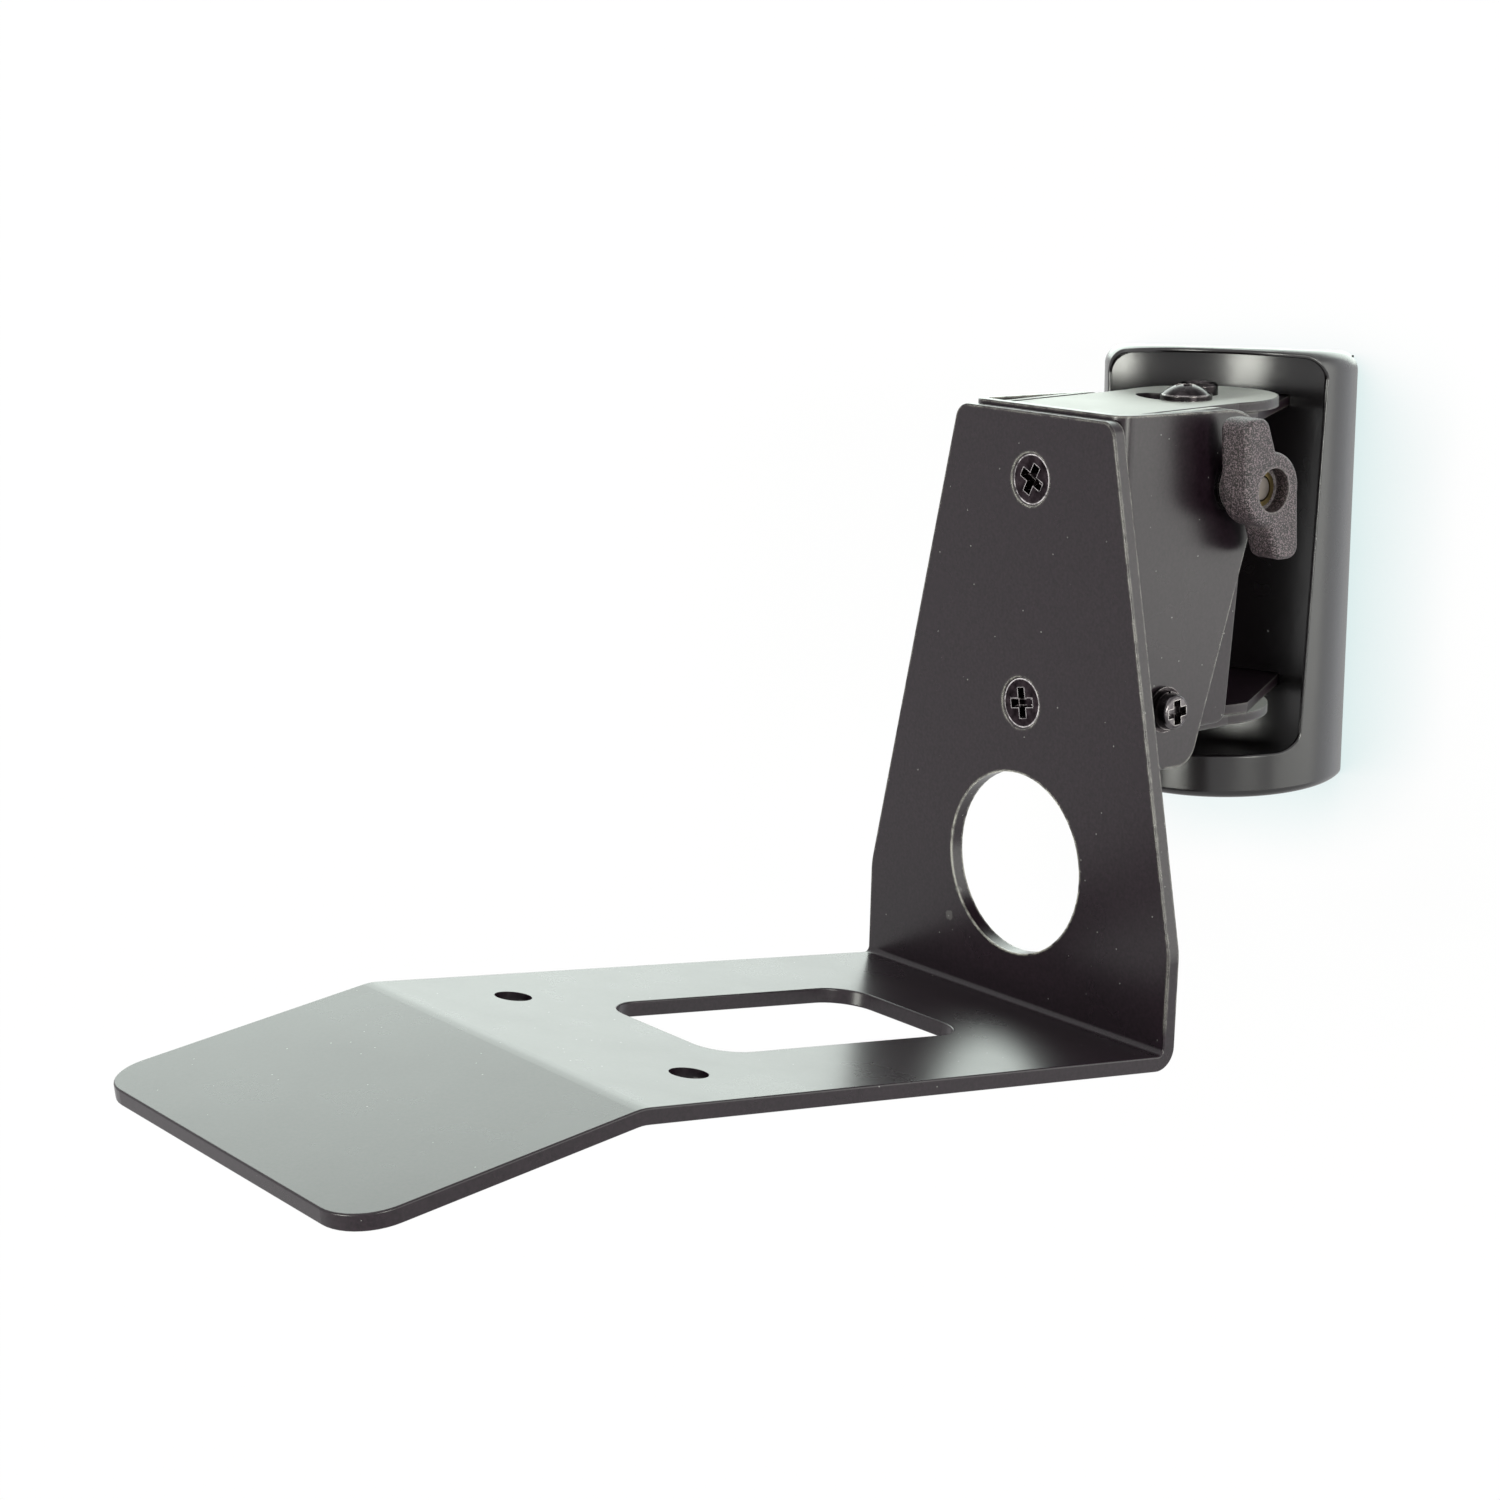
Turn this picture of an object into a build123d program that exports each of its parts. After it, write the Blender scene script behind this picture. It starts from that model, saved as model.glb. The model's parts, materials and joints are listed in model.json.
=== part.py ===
from build123d import *
from math import atan2, cos, degrees, hypot, radians, sin, tan
import os

os.makedirs("parts", exist_ok=True)

# Pose shown at rest, in degrees and mm
REST_SWIVEL = 29.51
AXIS_OUT = 30.0
SWIVEL_TRAVEL = 40.0
TILT_TRAVEL = 15.0

# Folded sheet stock
PLATE_T = 3.0
SHEET_T = 2.0
BEND_R = 1.5
SLIDE_GAP = 0.3
FACE_GAP = 0.1
RUN_CLEARANCE = 0.05
EDGE_BREAK = 0.35
RIM_BREAK = 0.3
CUT_MARGIN = 20.0

# Speaker plate
PLATE_W = 85.0
UPRIGHT_TOP = 32.2
UPRIGHT_TOP_W = 42.4
UPRIGHT_STRAIGHT = 19.5
UPRIGHT_KINK_R = 15.0
UPRIGHT_CORNER_R = 3.3
FOLD_INCLUDED = 83.44
FOLD_R = 1.2
BEND_DROP = 84.9
SHELF_L = 122.25
LIP_L = 55.5
LIP_DROP = 14.44
LIP_BEND_R = 9.0
LIP_CORNER_R = 9.0
SHELF_HOLE_R = 3.5
SHELF_HOLE_X = 26.7
SHELF_HOLE_OUT = 101.0
WINDOW_W = 35.8
WINDOW_NEAR = 27.1
WINDOW_L = 60.3
WINDOW_CORNER_R = 7.5
CABLE_HOLE_R = 18.15
CABLE_HOLE_UP = 28.4

# Countersunk plate screws, heights from the middle of the brackets
SCREW_Z_LOW = -24.4
SCREW_Z_HIGH = 19.3
SINK_R = 5.2
SINK_DEEP = 0.35
PLATE_SCREW_R = 2.5
PLATE_HOLE_R = 2.75
COLLAR_R = 4.0
COLLAR_L = 1.5

# Tilt bracket, its cheeks measured back from the leaning web
TILT_W = 41.4
WEB_OUT = 43.48
WEB_LEAN = 2.04
TILT_TOP = 33.1
TILT_BOTTOM = -36.15
CHEEK_REAR_TOP = 44.2
CHEEK_REAR_BOTTOM = 23.8
CHEEK_TOP_R = 10.8
CHEEK_BOTTOM_R = 5.0

# Tilt pivot and clamp positions ahead of the swivel axis and above the middle
PIVOT_Y = -29.5
PIVOT_Z = -24.45
CLAMP_Y = -11.3
CLAMP_Z = 17.45

# Swivel bracket
FLANGE_HALF = 32.25
WEB_GAP = 0.4
FLANGE_SIDE_GAP = 1.0
DISC_R = 16.1
INNER_REAR_TOP = -3.1
INNER_REAR_BOTTOM = -9.1
INNER_TOP_R = 10.0
INNER_BOTTOM_R = 2.5
SCREW_WINDOW_R = 6.0

# Swivel pivot rivets and lock screw
RIVET_R = 4.1
RIVET_BORE_R = 2.9
RIVET_STAND = 2.3
RIVET_HEAD_R = 5.2
RIVET_HEAD_T = 1.2
RIVET_LIP = 0.42
LOCK_OUT = 9.6
LOCK_SCREW_R = 2.5
LOCK_SLOT_CLEARANCE = 0.25
LOCK_HEAD_R = 4.85
LOCK_HEAD_H = 2.1
LOCK_WASHER_R = 5.2
LOCK_WASHER_T = 1.0
LOCK_NUT_AF = 8.0
LOCK_NUT_H = 3.6
LOCK_SCREW_OVER = 1.0
LOCK_CROSS_TURN = 25

# Wall plate
TAB_SWING_CLEARANCE = 0.4
TAB_SIDE_CLEARANCE = 2.4
WALL_HOLE_SPACING = 38.0
WALL_HOLE_R = 2.75

# Wall cover
COVER_HALF_W = 26.3
COVER_DEPTH_LOW = 29.82
COVER_DEPTH_HIGH = 26.44
COVER_BOTTOM = -51.0
COVER_TOP = 38.7
COVER_LEAN = 5.5
COVER_TOP_R = 4.0
COVER_BOTTOM_R = 1.6
COVER_INNER_R = 0.8
COVER_WALL = 1.6
COVER_HEADROOM = 4.4
NICHE_HALF_W = 31.5
NICHE_DEPTH = 23.5
OPENING_TOP = 36.65
OPENING_TOP_ARCH = 0.75
OPENING_TOP_HALF = 22.2
OPENING_BOTTOM = -43.4
OPENING_BOTTOM_ARCH = 1.1
OPENING_BOTTOM_HALF = 20.2
OPENING_CORNER_R = 4.2
OPENING_EDGE_R = 0.5
TAB_SLOT_CLEARANCE = 0.3

# Tilt pivot screws and washers
TILT_SCREW_R = 2.0
TILT_HEAD_R = 3.45
TILT_HEAD_H = 2.2
TILT_HEAD_EDGE_R = 0.9
FLAT_WASHER_R = 4.5
FLAT_WASHER_T = 0.8
SPRING_WASHER_R = 3.75
SPRING_WASHER_T = 1.0
SPRING_SPLIT = 0.7
SPRING_SPLIT_LEAN = 18
TILT_NUT_AF = 7.0
TILT_NUT_H = 3.2
TILT_SCREW_OVER = 0.6
TILT_CROSS_TURN = 4

# Clamp bolt and wing knob
CLAMP_R = 2.5
CLAMP_SLOT_CLEARANCE = 0.25
CLAMP_HEAD_AF = 8.0
CLAMP_HEAD_H = 3.5
CLAMP_WASHER_R = 5.5
CLAMP_WASHER_T = 1.0
KNOB_GAP = 0.2
KNOB_BOSS_R = 5.4
KNOB_BOSS_L = 1.8
KNOB_T = 7.3
KNOB_HUB_R = 7.3
KNOB_REACH = 13.9
WING_ROOT_OUTER = 7.2
WING_ROOT_INNER = -0.7
WING_ROOT_IN = 0.1
WING_OUTER = 8.0
WING_INNER = 1.9
WING_TIP_R = 2.4
KNOB_EDGE_R = 1.2
KNOB_RECESS_R = 4.25
KNOB_RECESS_DEPTH = 3.2
INSERT_R = 3.5

# Cross recess of the screws
CROSS_W = 0.9
CROSS_TAPER = 8
PLATE_CROSS_REACH = 3.0
PLATE_CROSS_DEPTH = 1.9
LOCK_CROSS_REACH = 2.2
LOCK_CROSS_DEPTH = 1.3
TILT_CROSS_REACH = 2.4
TILT_CROSS_DEPTH = 1.5
UPPER_CROSS_TURN = -26
LOWER_CROSS_TURN = 10


def sheet_profile(points, thickness, bend_radii):
    """Flat face of a bent sheet: the path is one skin and the thickness lies to its left."""
    count = len(points)
    steps = []
    for a, b in zip(points, points[1:]):
        length = hypot(b[0] - a[0], b[1] - a[1])
        steps.append(((b[0] - a[0]) / length, (b[1] - a[1]) / length))
    normals = [(-d[1], d[0]) for d in steps]
    inner = []
    for i, p in enumerate(points):
        n0 = normals[max(i - 1, 0)]
        n1 = normals[min(i, count - 2)]
        k = thickness / (1 + n0[0] * n1[0] + n0[1] * n1[1])
        inner.append((p[0] + k * (n0[0] + n1[0]), p[1] + k * (n0[1] + n1[1])))
    face = Sketch() + Polygon(*points, *reversed(inner), align=None)
    for i in range(1, count - 1):
        turn = steps[i - 1][0] * steps[i][1] - steps[i - 1][1] * steps[i][0]
        path_r = bend_radii[i - 1] + (thickness if turn > 0 else 0)
        skin_r = bend_radii[i - 1] + (0 if turn > 0 else thickness)
        face = fillet(face.vertices().sort_by_distance(points[i])[0], path_r)
        face = fillet(face.vertices().sort_by_distance(inner[i])[0], skin_r)
    return face


def rounded(points, radii):
    """Polygon with its own radius at each corner."""
    face = Sketch() + Polygon(*points, align=None)
    for point, radius in zip(points, radii):
        if radius > 0:
            face = fillet(face.vertices().sort_by_distance(point)[0], radius)
    return face


def side_prism(face, half):
    """Side view outline run across the width."""
    return extrude(Plane.YZ * face, amount=half, both=True)


def break_rims(sheet, side, fold):
    """Rounds the outer rims of a folded sheet's two sides, but not the seams along its folds."""
    sides = sheet.faces().filter_by(side).sort_by(side)
    rims = sides[0].edges() + sides[-1].edges()
    return fillet(rims.filter_by(fold, reverse=True), RIM_BREAK)


def rod_x(radius, x0, x1, y, z):
    """Round bar along X."""
    end = Plane((x0, y, z), x_dir=(0, 1, 0), z_dir=(1, 0, 0))
    return extrude(end * Circle(radius), amount=x1 - x0)


def rod_z(radius, z0, z1, x, y):
    """Round bar along Z."""
    return extrude(Pos(x, y, z0) * Circle(radius), amount=z1 - z0)


def cross_recess(reach, depth):
    """Four armed driver recess sunk from the XY plane."""
    arm = Rectangle(2 * reach, 2 * CROSS_W)
    face = Sketch() + arm + Rot(0, 0, 90) * arm
    return extrude(face, amount=-depth, taper=CROSS_TAPER)


def hex_prism(across_flats, height):
    """Hexagon prism on the XY plane with two flats facing X."""
    return extrude(RegularPolygon(across_flats / 2, 6, major_radius=False, rotation=30), amount=height)


def save(shape, name):
    export_step(shape, "parts/" + name + ".step")


# Frames: bracket turns about the swivel axis, cradle leans with the upright
bracket_frame = Location((0, -AXIS_OUT, 0), (0, 0, -REST_SWIVEL))
lean_frame = Location((0, -WEB_OUT, 0), (-WEB_LEAN, 0, 0))
cradle_frame = bracket_frame * lean_frame

# Sizes that follow from the fits
tab_face = FLANGE_HALF - SHEET_T - FACE_GAP
swivel_half = TILT_W / 2 - SHEET_T - SLIDE_GAP
inner_wall = swivel_half - SHEET_T
web_lean = radians(WEB_LEAN)
swivel_web = -WEB_OUT + tan(web_lean) * FLANGE_HALF + SHEET_T / cos(web_lean) + WEB_GAP
clamp_reach = hypot(CLAMP_Y - PIVOT_Y, CLAMP_Z - PIVOT_Z)
clamp_angle = degrees(atan2(CLAMP_Z - PIVOT_Z, CLAMP_Y - PIVOT_Y))
cheek_face = TILT_W / 2

# Speaker plate: one folded sheet, cable hole, window and two speaker holes
shelf_rise = radians(90 - FOLD_INCLUDED)
lip_rise = shelf_rise - radians(LIP_DROP)
bend_point = (-PLATE_T, -BEND_DROP)
shelf_end = (bend_point[0] - SHELF_L * cos(shelf_rise), bend_point[1] + SHELF_L * sin(shelf_rise))
lip_end = (shelf_end[0] - LIP_L * cos(lip_rise), shelf_end[1] + LIP_L * sin(lip_rise))
upright_top = (-PLATE_T, UPRIGHT_TOP)
plate_side = sheet_profile([upright_top, bend_point, shelf_end, lip_end], PLATE_T, [FOLD_R, LIP_BEND_R])
speaker_plate = side_prism(plate_side, PLATE_W / 2)
kink = UPRIGHT_STRAIGHT - BEND_DROP
plate_low = min(lip_end[1], bend_point[1]) - 3 * PLATE_T
plate_front = rounded(
    [
        (-PLATE_W / 2, plate_low),
        (PLATE_W / 2, plate_low),
        (PLATE_W / 2, kink),
        (UPRIGHT_TOP_W / 2, upright_top[1]),
        (-UPRIGHT_TOP_W / 2, upright_top[1]),
        (-PLATE_W / 2, kink),
    ],
    [0, 0, UPRIGHT_KINK_R, UPRIGHT_CORNER_R, UPRIGHT_CORNER_R, UPRIGHT_KINK_R],
)
front_cut = extrude(Plane.XZ * plate_front, amount=SHELF_L + LIP_L + CUT_MARGIN, both=True)
speaker_plate = speaker_plate & front_cut
lip_mid = (lip_end[0] + PLATE_T / 2 * sin(lip_rise), lip_end[1] - PLATE_T / 2 * cos(lip_rise))
lip_edges = [speaker_plate.edges().sort_by_distance((s * PLATE_W / 2, *lip_mid))[0] for s in (-1, 1)]
speaker_plate = fillet(lip_edges, LIP_CORNER_R)

shelf_plane = Plane((0, *bend_point), x_dir=(1, 0, 0), z_dir=(0, sin(shelf_rise), cos(shelf_rise)))
upright_plane = Plane((0, *bend_point), x_dir=(1, 0, 0), z_dir=(0, -1, 0))
window = Pos(0, -WINDOW_NEAR - WINDOW_L / 2) * RectangleRounded(WINDOW_W, WINDOW_L, WINDOW_CORNER_R)
shelf_holes = [Pos(s * SHELF_HOLE_X, -SHELF_HOLE_OUT) * Circle(SHELF_HOLE_R) for s in (-1, 1)]
shelf_cuts = Sketch() + window + shelf_holes
speaker_plate -= extrude(shelf_plane * shelf_cuts, amount=2 * PLATE_T, both=True)
cable_hole = Pos(0, CABLE_HOLE_UP) * Circle(CABLE_HOLE_R)
speaker_plate -= extrude(upright_plane * cable_hole, amount=2 * PLATE_T, both=True)
sink_drop = SINK_R - PLATE_HOLE_R
for screw_z in (SCREW_Z_LOW, SCREW_Z_HIGH):
    seat = upright_plane * Pos(0, BEND_DROP + screw_z)
    speaker_plate -= extrude(seat * Circle(PLATE_HOLE_R), amount=2 * PLATE_T, both=True)
    speaker_plate -= seat * Pos(0, 0, -sink_drop / 2) * Cone(PLATE_HOLE_R, SINK_R, sink_drop)
outer_rims = speaker_plate.faces().filter_by(Axis.X).edges()
speaker_plate = fillet(outer_rims.filter_by(lambda e: e.length > 2 * PLATE_T), EDGE_BREAK)
save(cradle_frame * speaker_plate, "speaker_plate")

# Countersunk screws that hold the plate to the tilt bracket
head_r = SINK_R - SINK_DEEP
head_drop = head_r - PLATE_SCREW_R
shank_end = PLATE_T + SHEET_T + COLLAR_L
screw_half = make_face(
    Polyline(
        (0, -SINK_DEEP),
        (head_r, -SINK_DEEP),
        (PLATE_SCREW_R, -SINK_DEEP - head_drop),
        (PLATE_SCREW_R, -shank_end + EDGE_BREAK),
        (PLATE_SCREW_R - EDGE_BREAK, -shank_end),
        (0, -shank_end),
        close=True,
    )
)
plate_screw = revolve(Plane.XZ * screw_half, Axis.Z)
plate_screw -= Pos(0, 0, -SINK_DEEP) * cross_recess(PLATE_CROSS_REACH, PLATE_CROSS_DEPTH)
plate_screws = (
    ("plate_screw_upper", SCREW_Z_HIGH, UPPER_CROSS_TURN),
    ("plate_screw_lower", SCREW_Z_LOW, LOWER_CROSS_TURN),
)
for name, screw_z, turn in plate_screws:
    seat = upright_plane.location * Location((0, BEND_DROP + screw_z, 0), (0, 0, turn))
    save(cradle_frame * seat * plate_screw, name)

# Tilt bracket: folded channel with pear shaped cheeks and tapped collars
cheek_run = CHEEK_REAR_TOP + CUT_MARGIN
channel = sheet_profile(
    [(-cheek_face, cheek_run), (-cheek_face, 0), (cheek_face, 0), (cheek_face, cheek_run)],
    SHEET_T,
    [BEND_R, BEND_R],
)
tall = 2 * (TILT_TOP - TILT_BOTTOM)
cheek_outline = rounded(
    [
        (-CUT_MARGIN, TILT_BOTTOM),
        (CHEEK_REAR_BOTTOM, TILT_BOTTOM),
        (CHEEK_REAR_TOP, TILT_TOP),
        (-CUT_MARGIN, TILT_TOP),
    ],
    [0, CHEEK_BOTTOM_R, CHEEK_TOP_R, 0],
)
tilt_bracket = extrude(channel, amount=tall, both=True) & side_prism(cheek_outline, TILT_W)
tilt_bracket = lean_frame * break_rims(tilt_bracket, Axis.X, Axis.Z)
for screw_z in (SCREW_Z_LOW, SCREW_Z_HIGH):
    spot = lean_frame * Location((0, SHEET_T, screw_z), (-90, 0, 0))
    tilt_bracket += spot * Pos(0, 0, COLLAR_L / 2) * Cylinder(COLLAR_R, COLLAR_L)
    tilt_bracket -= spot * Cylinder(PLATE_SCREW_R, 4 * SHEET_T + 4 * COLLAR_L)
tilt_bracket -= rod_x(TILT_SCREW_R + RUN_CLEARANCE, -TILT_W, TILT_W, PIVOT_Y, PIVOT_Z)
tilt_bracket -= rod_x(CLAMP_R + RUN_CLEARANCE, -TILT_W, TILT_W, CLAMP_Y, CLAMP_Z)
save(bracket_frame * tilt_bracket, "tilt_bracket")

# Swivel bracket: folded box with two disc ended flanges, lock slot and clamp slots
flange_end = DISC_R + CUT_MARGIN
web_side = sheet_profile(
    [
        (flange_end, FLANGE_HALF),
        (swivel_web, FLANGE_HALF),
        (swivel_web, -FLANGE_HALF),
        (flange_end, -FLANGE_HALF),
    ],
    SHEET_T,
    [BEND_R, BEND_R],
)
flange_half_w = inner_wall - FLANGE_SIDE_GAP
flange_plan = Circle(DISC_R) + Pos(0, swivel_web / 2) * Rectangle(2 * flange_half_w, -swivel_web)
swivel_bracket = side_prism(web_side, DISC_R) & extrude(flange_plan, amount=2 * FLANGE_HALF, both=True)
box_channel = sheet_profile(
    [(-swivel_half, 0), (-swivel_half, swivel_web), (swivel_half, swivel_web), (swivel_half, 0)],
    SHEET_T,
    [BEND_R, BEND_R],
)
fold_y = swivel_web + SHEET_T + BEND_R
fold_z = FLANGE_HALF - SHEET_T - BEND_R
cheek_low = SHEET_T - FLANGE_HALF
inner_outline = rounded(
    [
        (swivel_web - CUT_MARGIN, -fold_z),
        (fold_y, -fold_z),
        (fold_y, cheek_low),
        (INNER_REAR_BOTTOM, cheek_low),
        (INNER_REAR_TOP, FLANGE_HALF),
        (fold_y, FLANGE_HALF),
        (fold_y, fold_z),
        (swivel_web - CUT_MARGIN, fold_z),
    ],
    [0, 0, 0, INNER_BOTTOM_R, INNER_TOP_R, 0, 0, 0],
)
box_walls = extrude(box_channel, amount=2 * FLANGE_HALF, both=True) & side_prism(inner_outline, TILT_W)
swivel_bracket = break_rims(swivel_bracket, Axis.Z, Axis.X) + break_rims(box_walls, Axis.X, Axis.Z)
swivel_bracket -= rod_x(TILT_SCREW_R, -TILT_W, TILT_W, PIVOT_Y, PIVOT_Z)
clamp_path = CenterArc((PIVOT_Y, PIVOT_Z), clamp_reach, clamp_angle, TILT_TRAVEL)
clamp_slot = SlotArc(clamp_path, 2 * (CLAMP_R + CLAMP_SLOT_CLEARANCE))
swivel_bracket -= extrude(Plane.YZ * clamp_slot, amount=TILT_W, both=True)
for screw_z in (SCREW_Z_LOW, SCREW_Z_HIGH):
    swivel_bracket -= Location((0, swivel_web, screw_z), (90, 0, 0)) * Cylinder(SCREW_WINDOW_R, 3 * SHEET_T)
swivel_bracket -= Cylinder(RIVET_R + RUN_CLEARANCE, 4 * FLANGE_HALF)
lock_path = CenterArc((0, 0), LOCK_OUT, -90 - SWIVEL_TRAVEL, 2 * SWIVEL_TRAVEL)
lock_slot = SlotArc(lock_path, 2 * (LOCK_SCREW_R + LOCK_SLOT_CLEARANCE))
swivel_bracket -= extrude(Pos(0, 0, FLANGE_HALF) * lock_slot, amount=2 * SHEET_T, both=True)
save(bracket_frame * swivel_bracket, "swivel_bracket")

# Wall plate: folded sheet with two round ended tabs, in the wall's own frame
tab_r = inner_wall - TAB_SWING_CLEARANCE
tab_half_w = inner_wall - TAB_SIDE_CLEARANCE
tab_end = -AXIS_OUT - tab_r - CUT_MARGIN
plate_c = sheet_profile(
    [(tab_end, -tab_face), (0, -tab_face), (0, tab_face), (tab_end, tab_face)],
    SHEET_T,
    [BEND_R, BEND_R],
)
tab_plan = Circle(tab_r) + Pos(0, AXIS_OUT / 2) * Rectangle(2 * tab_r, AXIS_OUT)
tab_slab = extrude(Pos(0, -AXIS_OUT) * tab_plan, amount=2 * tab_face, both=True)
wall_plate = side_prism(plate_c, tab_half_w) & tab_slab
wall_plate -= Pos(0, -AXIS_OUT, 0) * Cylinder(RIVET_R, 4 * tab_face)
wall_plate -= rod_z(LOCK_SCREW_R, 0, 2 * tab_face, 0, -AXIS_OUT - LOCK_OUT)
wall_holes = [Pos(0, s * WALL_HOLE_SPACING / 2) * Circle(WALL_HOLE_R) for s in (-1, 1)]
wall_cut = extrude(Plane.XZ * (Sketch() + wall_holes), amount=AXIS_OUT / 2, both=True)
wall_plate -= wall_cut
save(wall_plate, "wall_plate")

# Pivot rivets: hollow, headed inside each tab and running in the flange
rivet_top = FLANGE_HALF + RIVET_STAND
rivet_low = tab_face - SHEET_T
rivet_half = make_face(
    Polyline(
        (RIVET_BORE_R, rivet_low - RIVET_HEAD_T),
        (RIVET_HEAD_R, rivet_low - RIVET_HEAD_T),
        (RIVET_HEAD_R, rivet_low),
        (RIVET_R, rivet_low),
        (RIVET_R, rivet_top),
        (RIVET_BORE_R, rivet_top),
        close=True,
    )
)
rivet = revolve(Plane.XZ * rivet_half, Axis.Z)
rivet = chamfer(rivet.edges().group_by(Axis.Z)[-1], RIVET_LIP)
rivet = Pos(0, -AXIS_OUT, 0) * rivet
save(rivet, "pivot_rivet_upper")
save(mirror(rivet, Plane.XY), "pivot_rivet_lower")

# Swivel lock screw, washer and nut on the upper tab
washer_low = FLANGE_HALF + FACE_GAP
washer_top = washer_low + LOCK_WASHER_T
lock_nut_top = tab_face - SHEET_T
lock_low = lock_nut_top - LOCK_NUT_H - LOCK_SCREW_OVER
lock_place = Pos(0, -AXIS_OUT - LOCK_OUT, 0)
dome_r = (LOCK_HEAD_R**2 + LOCK_HEAD_H**2) / (2 * LOCK_HEAD_H)
dome = Pos(0, 0, washer_top + LOCK_HEAD_H - dome_r) * Sphere(dome_r)
dome = dome & rod_z(LOCK_HEAD_R, washer_top, washer_top + 2 * LOCK_HEAD_H, 0, 0)
lock_screw = dome + rod_z(LOCK_SCREW_R, lock_low, washer_top + LOCK_HEAD_H / 2, 0, 0)
lock_seat = Location((0, 0, washer_top + LOCK_HEAD_H), (0, 0, LOCK_CROSS_TURN))
lock_screw -= lock_seat * cross_recess(LOCK_CROSS_REACH, LOCK_CROSS_DEPTH)
save(lock_place * lock_screw, "swivel_lock_screw")
lock_bore = rod_z(LOCK_SCREW_R, 0, 2 * washer_top, 0, 0)
lock_washer = rod_z(LOCK_WASHER_R, washer_low, washer_top, 0, 0) - lock_bore
save(lock_place * lock_washer, "swivel_lock_washer")
lock_nut = Location((0, 0, lock_nut_top - LOCK_NUT_H), (0, 0, 90)) * hex_prism(LOCK_NUT_AF, LOCK_NUT_H)
lock_nut -= lock_bore
save(lock_place * lock_nut, "swivel_lock_nut")


def half_ellipse(half_w, depth):
    """D shaped plan section with its flat side on the wall."""
    arc = EllipticalCenterArc((0, 0), half_w, depth, start_angle=180, arc_size=180)
    return make_face([arc, Line(arc @ 1, arc @ 0)])


def cover_body(inset, top_r, bottom_r):
    """Leaning D shaped solid with rounded rims, moved in from the outer skin by the inset."""
    half = COVER_HALF_W - inset
    low = COVER_BOTTOM + inset
    high = COVER_TOP + COVER_HEADROOM
    lower = Pos(0, 0, low) * half_ellipse(half, COVER_DEPTH_LOW - inset)
    upper = Pos(0, 0, high) * half_ellipse(half, COVER_DEPTH_HIGH - inset)
    above = Pos(0, COVER_TOP - inset) * Rectangle(4 * half, 4 * half, align=(Align.CENTER, Align.MIN))
    body = loft([lower, upper]) - extrude(lean_plane * above, amount=3 * AXIS_OUT, both=True)
    body = fillet(body.faces().sort_by(Axis.Z)[-1].edges().sort_by(Axis.Y)[0], top_r)
    return fillet(body.faces().sort_by(Axis.Z)[0].edges().sort_by(Axis.Y)[0], bottom_r)


def opening_prism(grow):
    """Arched front opening run through the cover, grown outwards by a wall thickness."""
    top = OPENING_TOP + grow
    low = OPENING_BOTTOM - grow
    top_half = OPENING_TOP_HALF + grow
    low_half = OPENING_BOTTOM_HALF + grow
    edge = [
        Line((low_half, low), (top_half, top)),
        ThreePointArc((top_half, top), (0, top + OPENING_TOP_ARCH), (-top_half, top)),
        Line((-top_half, top), (-low_half, low)),
        ThreePointArc((-low_half, low), (0, low - OPENING_BOTTOM_ARCH), (low_half, low)),
    ]
    face = make_face(edge)
    face = fillet(face.vertices(), OPENING_CORNER_R + grow)
    return extrude(lean_plane * face, amount=3 * AXIS_OUT, both=True)


def niche_oval(grow):
    """Upright oval about the swivel axis, the niche's back, grown by a wall thickness."""
    plan = Pos(0, -AXIS_OUT) * Ellipse(NICHE_HALF_W + grow, NICHE_DEPTH + grow)
    return extrude(plan, amount=2 * COVER_TOP, both=True)


# Wall cover: thin moulded shell with an oval backed niche, open at the wall
lean = radians(COVER_LEAN)
lean_plane = Plane((0, 0, 0), x_dir=(1, 0, 0), z_dir=(0, -cos(lean), sin(lean)))
cover_solid = cover_body(0, COVER_TOP_R, COVER_BOTTOM_R)
opening = opening_prism(0)
niche_back = (cover_solid & opening) - niche_oval(0)
cover_frame = cover_solid - opening
cut_edges = new_edges(cover_solid, opening, combined=cover_frame)
cover_frame = fillet(cut_edges.filter_by(lambda e: e.center().Y < -COVER_WALL), OPENING_EDGE_R)
inner_space = cover_body(COVER_WALL, COVER_TOP_R - COVER_WALL, COVER_INNER_R)
hollow = inner_space - (opening_prism(COVER_WALL) & niche_oval(COVER_WALL))
wall_cover = cover_frame + niche_back - hollow
slot_h = SHEET_T + 2 * TAB_SLOT_CLEARANCE
for s in (-1, 1):
    slot = Box(2 * (tab_half_w + TAB_SLOT_CLEARANCE), AXIS_OUT, slot_h)
    wall_cover -= Pos(0, -AXIS_OUT / 2 + TAB_SLOT_CLEARANCE, s * (tab_face - SHEET_T / 2)) * slot
wall_cover -= wall_cut
save(wall_cover, "wall_cover")

# Tilt pivot screws with spring and flat washers, tightened on nuts inside the box
flat_in = cheek_face + FACE_GAP
spring_in = flat_in + FLAT_WASHER_T
head_in = spring_in + SPRING_WASHER_T
tilt_bore = rod_x(TILT_SCREW_R, 0, 2 * head_in, 0, 0)
flat_washer = rod_x(FLAT_WASHER_R, flat_in, spring_in, 0, 0) - tilt_bore
spring_washer = rod_x(SPRING_WASHER_R, spring_in, head_in, 0, 0) - tilt_bore
split = Box(4 * SPRING_WASHER_R, SPRING_SPLIT, 2 * SPRING_WASHER_R)
spring_washer -= Location((spring_in, 0, SPRING_WASHER_R), (0, SPRING_SPLIT_LEAN, 0)) * split
pan = rod_x(TILT_HEAD_R, head_in, head_in + TILT_HEAD_H, 0, 0)
pan = fillet(pan.edges().group_by(Axis.X)[-1], TILT_HEAD_EDGE_R)
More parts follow.
